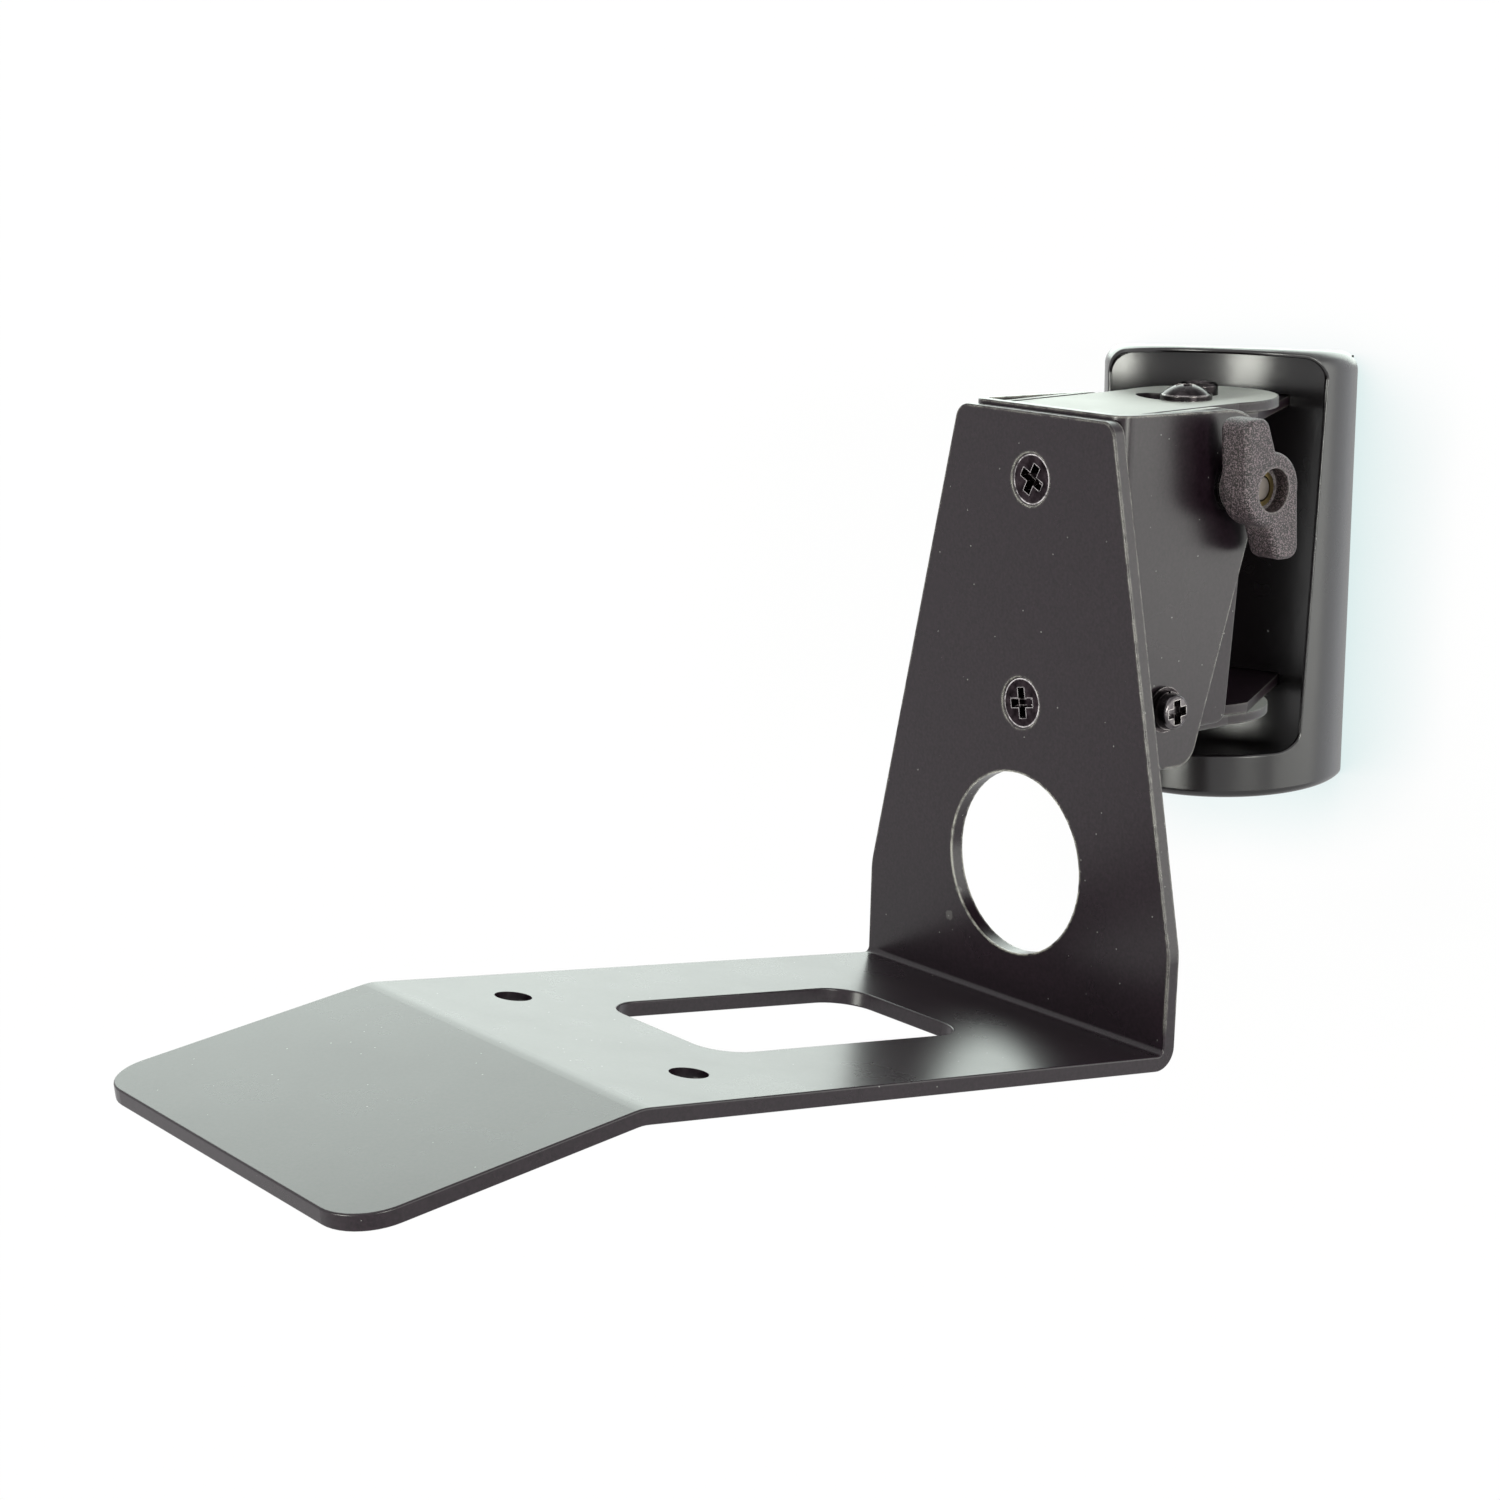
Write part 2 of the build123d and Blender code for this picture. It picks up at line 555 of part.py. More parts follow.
screw_tip = inner_wall - TILT_NUT_H - TILT_SCREW_OVER
tilt_screw = pan + rod_x(TILT_SCREW_R, screw_tip, head_in + TILT_HEAD_H / 2, 0, 0)
face_plane = Plane((head_in + TILT_HEAD_H, 0, 0), x_dir=(0, 1, 0), z_dir=(1, 0, 0))
tilt_cross = Rot(0, 0, TILT_CROSS_TURN) * cross_recess(TILT_CROSS_REACH, TILT_CROSS_DEPTH)
tilt_screw -= face_plane.location * tilt_cross
nut_plane = Plane((inner_wall, 0, 0), x_dir=(0, 0, 1), z_dir=(-1, 0, 0))
tilt_nut = nut_plane.location * hex_prism(TILT_NUT_AF, TILT_NUT_H) - tilt_bore
pieces = {
    "tilt_screw": tilt_screw,
    "tilt_spring_washer": spring_washer,
    "tilt_flat_washer": flat_washer,
    "tilt_nut": tilt_nut,
}
for name, piece in pieces.items():
    right = Pos(0, PIVOT_Y, PIVOT_Z) * piece
    save(bracket_frame * right, name + "_right")
    save(bracket_frame * mirror(right, Plane.YZ), name + "_left")

# Clamp bolt across both cheeks, with a washer under its head and one under the knob
knob_in = cheek_face + CLAMP_WASHER_T + KNOB_GAP
wing_in = knob_in + KNOB_BOSS_L
knob_face = wing_in + KNOB_T
bolt_end = knob_face - KNOB_RECESS_DEPTH
head_seat = -cheek_face - CLAMP_WASHER_T
head_plane = Plane((head_seat, 0, 0), x_dir=(0, 0, 1), z_dir=(-1, 0, 0))
clamp_bolt = head_plane.location * hex_prism(CLAMP_HEAD_AF, CLAMP_HEAD_H)
clamp_bolt += rod_x(CLAMP_R, head_seat - CLAMP_HEAD_H / 2, bolt_end, 0, 0)
clamp_bolt = chamfer(clamp_bolt.edges().group_by(Axis.X)[-1], EDGE_BREAK)
washer_bore = rod_x(CLAMP_R, -TILT_W, TILT_W, 0, 0)
head_washer = rod_x(CLAMP_WASHER_R, head_seat, -cheek_face, 0, 0) - washer_bore
knob_washer = rod_x(CLAMP_WASHER_R, cheek_face, cheek_face + CLAMP_WASHER_T, 0, 0) - washer_bore
clamp_frame = bracket_frame * Pos(0, CLAMP_Y, CLAMP_Z)
save(clamp_frame * clamp_bolt, "clamp_bolt")
save(clamp_frame * head_washer, "clamp_washer")
save(clamp_frame * knob_washer, "knob_washer")

# Wing knob: two offset wings on a round hub, with a threaded brass insert
wing = rounded(
    [
        (0, 0),
        (WING_ROOT_INNER, WING_ROOT_IN - KNOB_HUB_R),
        (WING_INNER, -KNOB_REACH),
        (WING_OUTER, -KNOB_REACH),
        (WING_ROOT_OUTER, 0),
    ],
    [0, 0, WING_TIP_R, WING_TIP_R, 0],
)
knob_plan = Circle(KNOB_HUB_R) + wing + Rot(0, 0, 180) * wing
knob_plane = Plane((wing_in, 0, 0), x_dir=(0, 1, 0), z_dir=(1, 0, 0))
wings = extrude(knob_plane * knob_plan, amount=KNOB_T)
wings = fillet(wings.edges().group_by(Axis.X)[-1] + wings.edges().group_by(Axis.X)[0], KNOB_EDGE_R)
wing_knob = wings + rod_x(KNOB_BOSS_R, knob_in, wing_in + KNOB_T / 2, 0, 0)
wing_knob -= rod_x(INSERT_R, 0, 2 * knob_face, 0, 0)
wing_knob -= rod_x(KNOB_RECESS_R, bolt_end, 2 * knob_face, 0, 0)
save(clamp_frame * wing_knob, "wing_knob")
insert_bore = rod_x(CLAMP_R + RUN_CLEARANCE, 0, 2 * knob_face, 0, 0)
knob_insert = rod_x(INSERT_R, knob_in + KNOB_GAP, bolt_end, 0, 0) - insert_bore
save(clamp_frame * knob_insert, "knob_insert")
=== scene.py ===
import json
import math

import bpy
from mathutils import Matrix, Vector

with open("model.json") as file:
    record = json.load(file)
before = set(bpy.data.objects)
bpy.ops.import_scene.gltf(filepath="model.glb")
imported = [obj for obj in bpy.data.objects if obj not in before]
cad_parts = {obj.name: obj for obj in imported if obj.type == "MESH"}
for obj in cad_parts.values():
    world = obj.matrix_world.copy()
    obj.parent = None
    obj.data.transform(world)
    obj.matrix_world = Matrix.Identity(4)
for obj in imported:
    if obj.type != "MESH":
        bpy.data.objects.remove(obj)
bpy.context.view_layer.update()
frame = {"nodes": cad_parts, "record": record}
nodes = frame["nodes"]

# One millimetre, for sizes of marks and textures
MM = 0.001

# Camera place and aim in the row frame, in metres
CAMERA_PLACE = (0.13603, -0.60342, 0.09964)
CAMERA_RIGHT = (0.92688, 0.37533, -0.00491)
CAMERA_DOWN = (0.08337, -0.21859, -0.97225)
CAMERA_LENS = 69.84
CAMERA_SENSOR = 36.0

# Middle of the cover's niche in the row frame, the rise of its moulding draft, and how far a face
# has to look towards that middle to take it
NICHE_MIDDLE = (0.0, -0.022, 0.0)
NICHE_DRAFT = 0.075
NICHE_FACING = (0.1, 0.5)

# Way the speaker plate's upright looks, how far out and how low its pale edges with their painted highlight
# go, and their fade
UPRIGHT_FACE = (-0.492, -0.87, 0.036)
UPRIGHT_FRONT = 0.0728
UPRIGHT_FOOT = -0.078
FRONT_FADE = 0.3 * MM
FOOT_FADE = 3.0 * MM

# Scuffs on the upright beside the cable hole, as place and radius, and their soft rim
SCUFFS = (((-0.0398, -0.0638, -0.0712), 1.1 * MM), ((-0.0376, -0.0644, -0.0653), 0.8 * MM))
SCUFF_RIM = (0.5 * MM, 0.2 * MM)

# How far a rounded normal turns from the flat one on a rubbed edge, and where noise breaks the rub; these
# pale edges are partly wear and partly a painted edge highlight
RUB_TURN = (0.99, 0.86)
RUB_BREAK = (0.32, 0.56)

# Span of a noise value that is put to use
NOISE_SPAN = (0.3, 0.7)

# Colours of the coats, the cover and the knob
COAT_DARK = (0.004, 0.001, 0.003)
COAT_PALE = (0.015, 0.0075, 0.0125)
COAT_SCUFF = (0.07, 0.065, 0.065)
COAT_DUST = (0.22, 0.22, 0.21)
FILM_TINT = (0.95, 1.0, 0.96, 1.0)
COVER_DARK = (0.003, 0.002, 0.0025)
COVER_PALE = (0.006, 0.0045, 0.0055)
COVER_DUST = (0.25, 0.25, 0.25)
KNOB_DARK = (0.003, 0.001, 0.002)
KNOB_SPECK = (0.155, 0.118, 0.13)
# Pale knob edges: partly rubbed plastic and partly a painted edge highlight
KNOB_RUBBED_AND_HIGHLIT = (0.17, 0.15, 0.15)

# Lamps as place and size in metres, radiance and tint
LAMPS = {
    "back softbox": ((-0.6, 1.9, 0.85), (3.6, 1.5), 2.95, (0.88, 1.0, 0.925)),
    "right softbox": ((1.415, 0.124, 0.2), (1.2, 1.26), 2.2, (0.98, 1.0, 0.94)),
    "wall softbox": ((0.95, 1.06, -0.1), (0.9, 1.6), 0.36, (0.84, 0.91, 1.0)),
    "left key": ((-0.646, -1.354, 0.04), (0.48, 0.54), 20.0, (0.98, 1.0, 0.92)),
    "right key": ((1.132, -0.984, 0.13), (0.48, 0.4), 21.5, (0.98, 1.0, 0.92)),
    "top softbox": ((-0.2, -0.5, 1.5), (1.2, 1.2), 0.8, (1.0, 1.0, 1.0)),
}

# Soft shade on the wall: the way it looks for the cover, its reach in metres, its span and its colour
SHADE_WAY = {"X": -0.82, "Y": -0.25, "Z": 0.5}
SHADE_REACH = 0.025
SHADE_SPAN = (0.35, 0.9)
SHADE_COLOUR = (0.66, 0.82, 0.82)

# Share of plain white in the floor and the wall, and their own grey
STAGE_GLOW = 0.97
STAGE_GREY = 0.85

# Studio sizes, in metres
FLOOR_DROP = 1.1
FLOOR_HALF = 8.0
WALL_HALF = 3.0
WALL_GAP = 0.0004
WHITE = (1.0, 1.0, 1.0, 1.0)


def add_node(tree, kind, inputs=None, **settings):
    """New node with its settings, and its inputs either linked or set."""
    node = tree.nodes.new(kind)
    for name, value in settings.items():
        setattr(node, name, value)
    for name, value in (inputs or {}).items():
        if isinstance(value, bpy.types.NodeSocket):
            tree.links.new(value, node.inputs[name])
        else:
            node.inputs[name].default_value = value
    return node


def math_node(tree, operation, first, second=0.0):
    """Output of one Math node."""
    return add_node(tree, "ShaderNodeMath", {0: first, 1: second}, operation=operation).outputs[0]


def vector_node(tree, operation, first, second=(0.0, 0.0, 0.0), output="Vector"):
    """Output of one Vector Math node."""
    inputs = {0: first, 1: second}
    return add_node(tree, "ShaderNodeVectorMath", inputs, operation=operation).outputs[output]


def own_place(tree):
    """Place on the piece in its own coordinates, which are the row frame at rest."""
    return add_node(tree, "ShaderNodeTexCoord").outputs["Object"]


def new_group(name, inputs, outputs):
    """Empty shader group with number inputs and the named outputs, as (tree, inputs, outputs)."""
    tree = bpy.data.node_groups.new(name, "ShaderNodeTree")
    for label, value in inputs.items():
        socket = tree.interface.new_socket(label, in_out="INPUT", socket_type="NodeSocketFloat")
        socket.default_value = value
    for label in outputs:
        tree.interface.new_socket(label, in_out="OUTPUT", socket_type="NodeSocketFloat")
    entry = tree.nodes.new("NodeGroupInput")
    leave = tree.nodes.new("NodeGroupOutput")
    return tree, entry.outputs, leave.inputs


def noise(tree, scale, detail=2.0, roughness=0.5):
    """Noise value over the piece's own coordinates, the scale in features per metre."""
    inputs = {"Vector": own_place(tree), "Scale": scale, "Detail": detail, "Roughness": roughness}
    return add_node(tree, "ShaderNodeTexNoise", inputs).outputs["Fac"]


def ramp(tree, value, low, high):
    """Value stretched from low..high to 0..1 and clamped."""
    inputs = {"Value": value, "From Min": low, "From Max": high}
    return add_node(tree, "ShaderNodeMapRange", inputs, clamp=True).outputs["Result"]


def edge_rub_and_highlight_group():
    """Mask of the pale edges, partly wear and partly a painted edge highlight: where the rounded normal
    leaves the flat one, broken up by noise.
    """
    tree, given, out = new_group("edge rub and painted highlight", {"Radius": 0.5 * MM, "Grain": 400.0}, ["Edge"])
    soft = add_node(tree, "ShaderNodeBevel", {"Radius": given["Radius"]}, samples=6)
    flat = add_node(tree, "ShaderNodeNewGeometry").outputs["Normal"]
    facing = vector_node(tree, "DOT_PRODUCT", soft.outputs["Normal"], flat, "Value")
    turned = ramp(tree, facing, *RUB_TURN)
    broken = ramp(tree, noise(tree, given["Grain"], 4.0, 0.6), *RUB_BREAK)
    tree.links.new(math_node(tree, "MULTIPLY", turned, broken), out["Edge"])
    return tree


def dust_group():
    """Mask of sparse fine specks: a few chosen cells, each with one small dot."""
    tree, given, out = new_group("dust", {"Cells": 500.0, "Share": 0.03, "Dot": 0.16}, ["Dust"])
    cells = add_node(tree, "ShaderNodeTexVoronoi", {"Vector": own_place(tree), "Scale": given["Cells"]})
    pick = add_node(tree, "ShaderNodeSeparateColor", {"Color": cells.outputs["Color"]}).outputs["Red"]
    chosen = math_node(tree, "LESS_THAN", pick, given["Share"])
    dot = math_node(tree, "LESS_THAN", cells.outputs["Distance"], given["Dot"])
    tree.links.new(math_node(tree, "MULTIPLY", chosen, dot), out["Dust"])
    return tree


def grain_group():
    """Fine surface height and a slow patchy value, each from its own noise."""
    tree, given, out = new_group("grain", {"Fine": 1500.0, "Slow": 30.0}, ["Height", "Patch"])
    tree.links.new(noise(tree, given["Fine"], 3.0, 0.55), out["Height"])
    tree.links.new(noise(tree, given["Slow"], 4.0, 0.6), out["Patch"])
    return tree


def handling_group():
    """Masks of where the pale edges, partly wear and partly painted highlight, are kept, which leaves out
    the shelf and its fold, and of the ragged scuffs.
    """
    tree, given, out = new_group("handling", {"Ragged": 0.9 * MM}, ["Reach", "Scuff"])
    place = own_place(tree)
    front = vector_node(tree, "DOT_PRODUCT", place, UPRIGHT_FACE, "Value")
    height = add_node(tree, "ShaderNodeSeparateXYZ", {"Vector": place}).outputs["Z"]
    behind = ramp(tree, front, UPRIGHT_FRONT + FRONT_FADE, UPRIGHT_FRONT)
    above = ramp(tree, height, UPRIGHT_FOOT - FOOT_FADE, UPRIGHT_FOOT)
    tree.links.new(math_node(tree, "MULTIPLY", behind, above), out["Reach"])
    ragged = math_node(tree, "MULTIPLY", noise(tree, 1400.0, 3.0), given["Ragged"])
    spots = 0.0
    for middle, radius in SCUFFS:
        away = math_node(tree, "ADD", vector_node(tree, "DISTANCE", place, middle, "Value"), ragged)
        spot = ramp(tree, away, radius + SCUFF_RIM[0], radius + SCUFF_RIM[1])
        spots = math_node(tree, "MAXIMUM", spots, spot)
    tree.links.new(spots, out["Scuff"])
    return tree


EDGE_RUB_AND_HIGHLIGHT = edge_rub_and_highlight_group()
DUST = dust_group()
GRAIN = grain_group()
HANDLING = handling_group()


def place_group(tree, group, **values):
    """Group node with its own values."""
    node = tree.nodes.new("ShaderNodeGroup")
    node.node_tree = group
    for name, value in values.items():
        node.inputs[name].default_value = value
    return node.outputs


def mix_colour(tree, mask, plain, marked):
    """Colour that goes from plain to marked with the mask."""
    node = add_node(tree, "ShaderNodeMix", {"Factor": mask}, data_type="RGBA")
    for slot, colour in (("A_Color", plain), ("B_Color", marked)):
        socket = next(s for s in node.inputs if s.identifier == slot)
        if isinstance(colour, bpy.types.NodeSocket):
            tree.links.new(colour, socket)
        else:
            socket.default_value = (*colour, 1.0)
    return next(s for s in node.outputs if s.identifier == "Result_Color")


def new_material(name):
    """Material with a bare Principled shader, as (material, tree, shader inputs)."""
    material = bpy.data.materials.new(name)
    material.use_nodes = True
    tree = material.node_tree
    shader = next(n for n in tree.nodes if n.type == "BSDF_PRINCIPLED")
    return material, tree, shader.inputs


def bumped(tree, height, distance, strength=1.0):
    """Normal from a height."""
    inputs = {"Height": height, "Distance": distance, "Strength": strength}
    return add_node(tree, "ShaderNodeBump", inputs).outputs["Normal"]


def varied(tree, patch, low, high):
    """Roughness that follows a patchy value."""
    first, last = NOISE_SPAN
    inputs = {"Value": patch, "From Min": first, "From Max": last, "To Min": low, "To Max": high}
    return add_node(tree, "ShaderNodeMapRange", inputs, clamp=True).outputs["Result"]


def powder_coat(name, rubbed_and_highlit_edge, low, high, film):
    """Black satin coat on steel: faint orange peel, fine dust, a dust film, scuffs, and pale edges of wear
    and painted highlight.
    """
    material, tree, shader = new_material(name)
    grain = place_group(tree, GRAIN, Fine=1500.0, Slow=45.0)
    dust = place_group(tree, DUST, Cells=900.0, Share=0.04, Dot=0.13)
    edge = place_group(tree, EDGE_RUB_AND_HIGHLIGHT, Radius=0.9 * MM, Grain=420.0)
    handling = place_group(tree, HANDLING, Ragged=0.9 * MM)
    toned = mix_colour(tree, ramp(tree, grain["Height"], *NOISE_SPAN), COAT_DARK, COAT_PALE)
    scuffed = mix_colour(tree, handling["Scuff"], toned, COAT_SCUFF)
    # Pale rubbed edges: partly wear and partly a painted edge highlight, kept off the shelf and its fold
    rub_and_highlight = math_node(tree, "MULTIPLY", edge["Edge"], handling["Reach"])
    rubbed = mix_colour(tree, rub_and_highlight, scuffed, rubbed_and_highlit_edge)
    tree.links.new(mix_colour(tree, dust["Dust"], rubbed, COAT_DUST), shader["Base Color"])
    tree.links.new(varied(tree, grain["Patch"], low, high), shader["Roughness"])
    tree.links.new(bumped(tree, grain["Height"], 0.0015 * MM), shader["Normal"])
    shader["IOR"].default_value = 1.45
    shader["Sheen Weight"].default_value = film
    shader["Sheen Roughness"].default_value = 0.35
    shader["Sheen Tint"].default_value = FILM_TINT
    return material


def drafted(tree, normal):
    """Normal of the cover, leaned up by the moulding draft on the faces that look into the niche."""
    inward = vector_node(tree, "SUBTRACT", NICHE_MIDDLE, own_place(tree))
    level = vector_node(tree, "NORMALIZE", vector_node(tree, "MULTIPLY", inward, (1.0, 1.0, 0.0)))
    facing = vector_node(tree, "DOT_PRODUCT", normal, level, "Value")
    lean = math_node(tree, "MULTIPLY", ramp(tree, facing, *NICHE_FACING), NICHE_DRAFT)
    rise = add_node(tree, "ShaderNodeCombineXYZ", {"Z": lean}).outputs["Vector"]
    return vector_node(tree, "NORMALIZE", vector_node(tree, "ADD", normal, rise))


def cover_plastic():
    """Smooth satin black plastic with faint flow marks and dust."""
    material, tree, shader = new_material("satin cover plastic")
    grain = place_group(tree, GRAIN, Fine=1400.0, Slow=25.0)
    dust = place_group(tree, DUST, Cells=350.0, Share=0.012, Dot=0.08)
    toned = mix_colour(tree, grain["Patch"], COVER_DARK, COVER_PALE)
    tree.links.new(mix_colour(tree, dust["Dust"], toned, COVER_DUST), shader["Base Color"])
    tree.links.new(varied(tree, grain["Patch"], 0.24, 0.29), shader["Roughness"])
    tree.links.new(drafted(tree, bumped(tree, grain["Height"], 0.002 * MM)), shader["Normal"])
    shader["IOR"].default_value = 1.58
    return material


def knob_plastic():
    """Coarse grained matte black plastic, with pale edges that are partly rubbed and partly a painted
    highlight.
    """
    material, tree, shader = new_material("grained knob plastic")
    grain = place_group(tree, GRAIN, Fine=3600.0, Slow=3300.0)
    edge = place_group(tree, EDGE_RUB_AND_HIGHLIGHT, Radius=1.0 * MM, Grain=1500.0)
    speck = ramp(tree, grain["Patch"], 0.5, 0.57)
    toned = mix_colour(tree, speck, KNOB_DARK, KNOB_SPECK)
    tree.links.new(mix_colour(tree, edge["Edge"], toned, KNOB_RUBBED_AND_HIGHLIT), shader["Base Color"])
    tree.links.new(varied(tree, grain["Patch"], 0.4, 0.6), shader["Roughness"])
    tree.links.new(bumped(tree, grain["Patch"], 0.16 * MM), shader["Normal"])
    shader["IOR"].default_value = 1.5
    return material


def black_zinc(name, dark, pale, rubbed_and_highlit_edge):
    """Dark plated steel of the screws, washers and rivets, bright on edges that are partly rubbed and partly
    a painted highlight.
    """
    material, tree, shader = new_material(name)
    grain = place_group(tree, GRAIN, Fine=2600.0, Slow=420.0)
    edge = place_group(tree, EDGE_RUB_AND_HIGHLIGHT, Radius=0.4 * MM, Grain=700.0)
    toned = mix_colour(tree, ramp(tree, grain["Patch"], 0.35, 0.65), dark, pale)
    tree.links.new(mix_colour(tree, edge["Edge"], toned, rubbed_and_highlit_edge), shader["Base Color"])
    tree.links.new(varied(tree, grain["Patch"], 0.16, 0.3), shader["Roughness"])
    tree.links.new(bumped(tree, grain["Height"], 0.006 * MM), shader["Normal"])
    shader["Metallic"].default_value = 1.0
    return material


def plated_metal(name, dark, pale, low, high):
    """Bare or plated metal with turning marks and patchy gloss."""
    material, tree, shader = new_material(name)
    grain = place_group(tree, GRAIN, Fine=2200.0, Slow=300.0)
    tree.links.new(mix_colour(tree, grain["Patch"], dark, pale), shader["Base Color"])
    tree.links.new(varied(tree, grain["Patch"], low, high), shader["Roughness"])
    tree.links.new(bumped(tree, grain["Height"], 0.005 * MM), shader["Normal"])
    shader["Metallic"].default_value = 1.0
    return material


FINISHES = {
    "powder_coat": powder_coat(
        "satin powder coat", rubbed_and_highlit_edge=(0.5, 0.49, 0.44), low=0.265, high=0.295, film=0.0),
    "cover_plastic": cover_plastic(),
    "knob_plastic": knob_plastic(),
    "black_screw": black_zinc(
        "black zinc", dark=(0.008, 0.006, 0.007), pale=(0.035, 0.03, 0.032), rubbed_and_highlit_edge=(0.24, 0.22, 0.22)),
    "zinc": plated_metal(
        "zinc plate", dark=(0.07, 0.06, 0.053), pale=(0.2, 0.175, 0.16), low=0.35, high=0.55),
    "brass": plated_metal(
        "turned brass", dark=(0.07, 0.05, 0.022), pale=(0.24, 0.18, 0.08), low=0.3, high=0.5),
}
# Coats of the swivel bracket and the wall plate: their painted edge highlight is dimmer, for parts that sit
# in the niche's shade
DUSTY_COAT = powder_coat(
    "dusty powder coat", rubbed_and_highlit_edge=(0.1, 0.095, 0.09), low=0.42, high=0.5, film=0.57)
SHELTERED_COAT = powder_coat(
    "sheltered powder coat", rubbed_and_highlit_edge=(0.06, 0.055, 0.05), low=0.32, high=0.38, film=0.0)
# Plate screws: dark heads whose bright edges are partly wear and partly a painted highlight
DRIVEN_ZINC = black_zinc(
    "driven black zinc", dark=(0.005, 0.003, 0.004), pale=(0.04, 0.03, 0.035), rubbed_and_highlit_edge=(0.9, 0.85, 0.85))
# Paler copy of the black zinc for the tilt screws: its lighter tone paints their faces brighter than the
# lamps light them
PALER_LIT_ZINC = black_zinc(
    "paler lit black zinc", dark=(0.04, 0.036, 0.038), pale=(0.12, 0.11, 0.115), rubbed_and_highlit_edge=(0.5, 0.47, 0.46))
OWN_FINISHES = {
    "swivel_bracket": DUSTY_COAT,
    "wall_plate": SHELTERED_COAT,
    "plate_screw_upper": DRIVEN_ZINC,
    "plate_screw_lower": DRIVEN_ZINC,
    "tilt_screw_left": PALER_LIT_ZINC,
    "tilt_screw_right": PALER_LIT_ZINC,
}
slots = {part["node"]: part["material_slot"] for part in frame["record"]["subparts"]}
for name, piece in nodes.items():
    piece.data.materials.clear()
    piece.data.materials.append(OWN_FINISHES.get(name, FINISHES[slots[name]]))


def camera():
    """Camera at the photograph's place and angle."""
    data = bpy.data.cameras.new("camera")
    data.lens = CAMERA_LENS
    data.sensor_width = CAMERA_SENSOR
    data.clip_start = 0.01
    right = Vector(CAMERA_RIGHT).normalized()
    up = -Vector(CAMERA_DOWN)
    back = right.cross(up).normalized()
    up = back.cross(right)
    eye = bpy.data.objects.new("camera", data)
    turn = Matrix((right, up, back)).transposed().to_4x4()
    eye.matrix_world = Matrix.Translation(CAMERA_PLACE) @ turn
    bpy.context.scene.collection.objects.link(eye)
    bpy.context.scene.camera = eye


def softbox(name, place, size, radiance, tint):
    """Rectangular lamp that faces the bracket, its strength given as radiance."""
    data = bpy.data.lights.new(name, "AREA")
    data.shape = "RECTANGLE"
    data.size, data.size_y = size
    data.energy = radiance * math.pi * size[0] * size[1]
    data.color = tint
    lamp = bpy.data.objects.new(name, data)
    lamp.location = place
    lamp.rotation_euler = (-Vector(place)).to_track_quat("-Z", "Y").to_euler()
    lamp.visible_camera = False
    bpy.context.scene.collection.objects.link(lamp)


def seen_as_background(tree):
    """1 for rays that show the background: seen, mirrored or through glass."""
    path = add_node(tree, "ShaderNodeLightPath").outputs
    mirrored = math_node(tree, "MAXIMUM", path["Is Glossy Ray"], path["Is Transmission Ray"])
    return math_node(tree, "MAXIMUM", path["Is Camera Ray"], mirrored)


def studio_world():
    """White behind the object, a softer level for the room's own light."""
    world = bpy.data.worlds.new("studio")
    bpy.context.scene.world = world
    world.use_nodes = True
    tree = world.node_tree
    tree.nodes.clear()
    room = add_node(tree, "ShaderNodeBackground", {"Color": (0.97, 0.98, 1.0, 1.0), "Strength": 0.25})
    white = add_node(tree, "ShaderNodeBackground", {"Color": WHITE, "Strength": 1.0})
    inputs = {0: seen_as_background(tree), 1: room.outputs[0], 2: white.outputs[0]}
    mix = add_node(tree, "ShaderNodeMixShader", inputs)
    add_node(tree, "ShaderNodeOutputWorld", {"Surface": mix.outputs[0]})


def pale_sheet(name, corners, material):
    """Flat stage panel."""
    mesh = bpy.data.meshes.new(name)
    mesh.from_pydata(corners, [], [tuple(range(len(corners)))])
    mesh.materials.append(material)
    panel = bpy.data.objects.new(name, mesh)
    bpy.context.scene.collection.objects.link(panel)
    return panel


def floor_finish():
    """Pale floor that reads as white and keeps some of its own shading."""
    material = bpy.data.materials.new("pale floor")
    material.use_nodes = True
    tree = material.node_tree
    tree.nodes.clear()
    lit = add_node(tree, "ShaderNodeBsdfDiffuse", {"Color": (STAGE_GREY, STAGE_GREY, STAGE_GREY, 1.0)})
    white = add_node(tree, "ShaderNodeEmission", {"Color": WHITE, "Strength": 1.0})
    share = math_node(tree, "MULTIPLY", seen_as_background(tree), STAGE_GLOW)
    mix = add_node(tree, "ShaderNodeMixShader", {0: share, 1: lit.outputs[0], 2: white.outputs[0]})
    add_node(tree, "ShaderNodeOutputMaterial", {"Surface": mix.outputs[0]})
    return material


def shade_beside_cover(tree):
    """White that turns to a soft shade where the cover is close by on its upper left."""
    aside = add_node(tree, "ShaderNodeCombineXYZ", SHADE_WAY).outputs["Vector"]
    inputs = {"Distance": SHADE_REACH, "Normal": aside}
    near = add_node(tree, "ShaderNodeAmbientOcclusion", inputs, samples=16).outputs["AO"]
    return mix_colour(tree, ramp(tree, near, *SHADE_SPAN), SHADE_COLOUR, WHITE[:3])


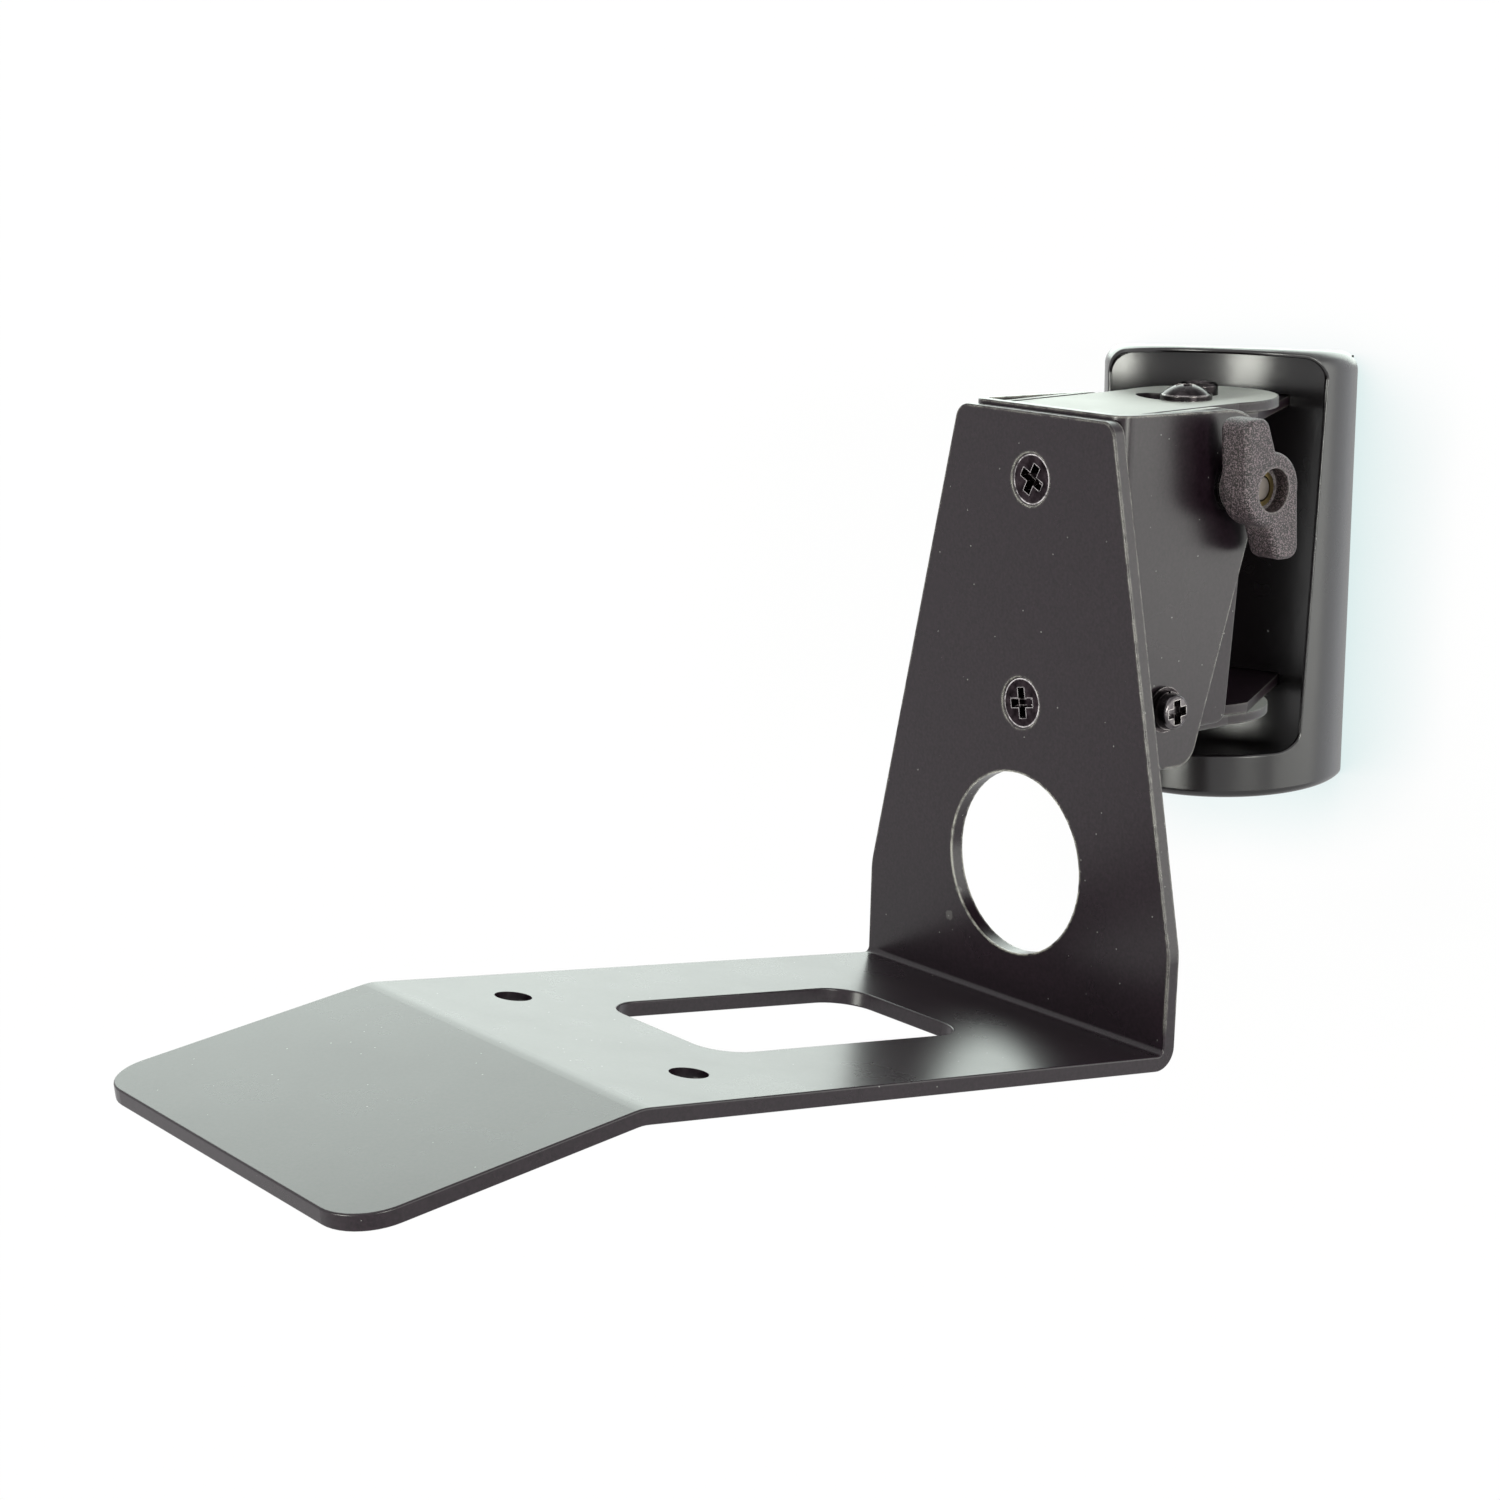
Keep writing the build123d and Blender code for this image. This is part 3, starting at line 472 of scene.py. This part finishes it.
def wall_finish(name, grey, glow):
    """Wall with a share of white in its own shading, shaded beside the cover, clear from behind."""
    material = bpy.data.materials.new(name)
    material.use_nodes = True
    tree = material.node_tree
    tree.nodes.clear()
    lit = add_node(tree, "ShaderNodeBsdfDiffuse", {"Color": (grey, grey, grey, 1.0)})
    white = add_node(tree, "ShaderNodeEmission", {"Color": shade_beside_cover(tree), "Strength": 1.0})
    front = add_node(tree, "ShaderNodeMixShader", {0: glow, 1: lit.outputs[0], 2: white.outputs[0]})
    clear = add_node(tree, "ShaderNodeBsdfTransparent")
    behind = add_node(tree, "ShaderNodeNewGeometry").outputs["Backfacing"]
    depth = add_node(tree, "ShaderNodeLightPath").outputs["Transparent Depth"]
    passed = math_node(tree, "MINIMUM", depth, 1.0)
    see_through = math_node(tree, "MAXIMUM", behind, passed)
    mix = add_node(tree, "ShaderNodeMixShader", {0: see_through, 1: front.outputs[0], 2: clear.outputs[0]})
    add_node(tree, "ShaderNodeOutputMaterial", {"Surface": mix.outputs[0]})
    return material


def cover_patch():
    """Corners of the wall's patch under the cover, a little inside its rim, as (x, z) pairs."""
    points = [nodes["wall_cover"].matrix_world @ v.co for v in nodes["wall_cover"].data.vertices]
    xs = [p.x for p in points]
    zs = [p.z for p in points if p.y > -MM]
    return (min(xs) + MM, min(zs) + MM), (max(xs) - MM, max(zs) - MM)


def wall_panel(name, low, high, gap, material):
    """Upright stage panel behind the bracket."""
    (left, bottom), (right, top) = low, high
    corners = [(left, gap, bottom), (right, gap, bottom), (right, gap, top), (left, gap, top)]
    return pale_sheet(name, corners, material)


def stage_panels():
    """Floor well below the bracket, a wall that only the camera sees and its black patch under the cover, a
    painted shade.
    """
    f = FLOOR_HALF
    z = -FLOOR_DROP
    pale_sheet("floor", [(-f, -f, z), (f, -f, z), (f, f, z), (-f, f, z)], floor_finish())
    w = WALL_HALF
    pale = wall_finish("pale wall", STAGE_GREY, STAGE_GLOW)
    wall = wall_panel("wall", (-w, -FLOOR_DROP), (w, w), WALL_GAP, pale)
    for kind in ("diffuse", "glossy", "transmission", "shadow"):
        setattr(wall, "visible_" + kind, False)
    # The patch under the cover is black: a painted shade for the wall inside the cover, which also blocks
    # the lamps' light from behind
    cover_low, cover_high = cover_patch()
    wall_panel("painted shade patch", cover_low, cover_high, WALL_GAP / 2, wall_finish("black painted shade", 0.0, 0.0))


camera()
for lamp_name, lamp_values in LAMPS.items():
    softbox(lamp_name, *lamp_values)
studio_world()
stage_panels()
bpy.context.scene.view_settings.view_transform = "Standard"
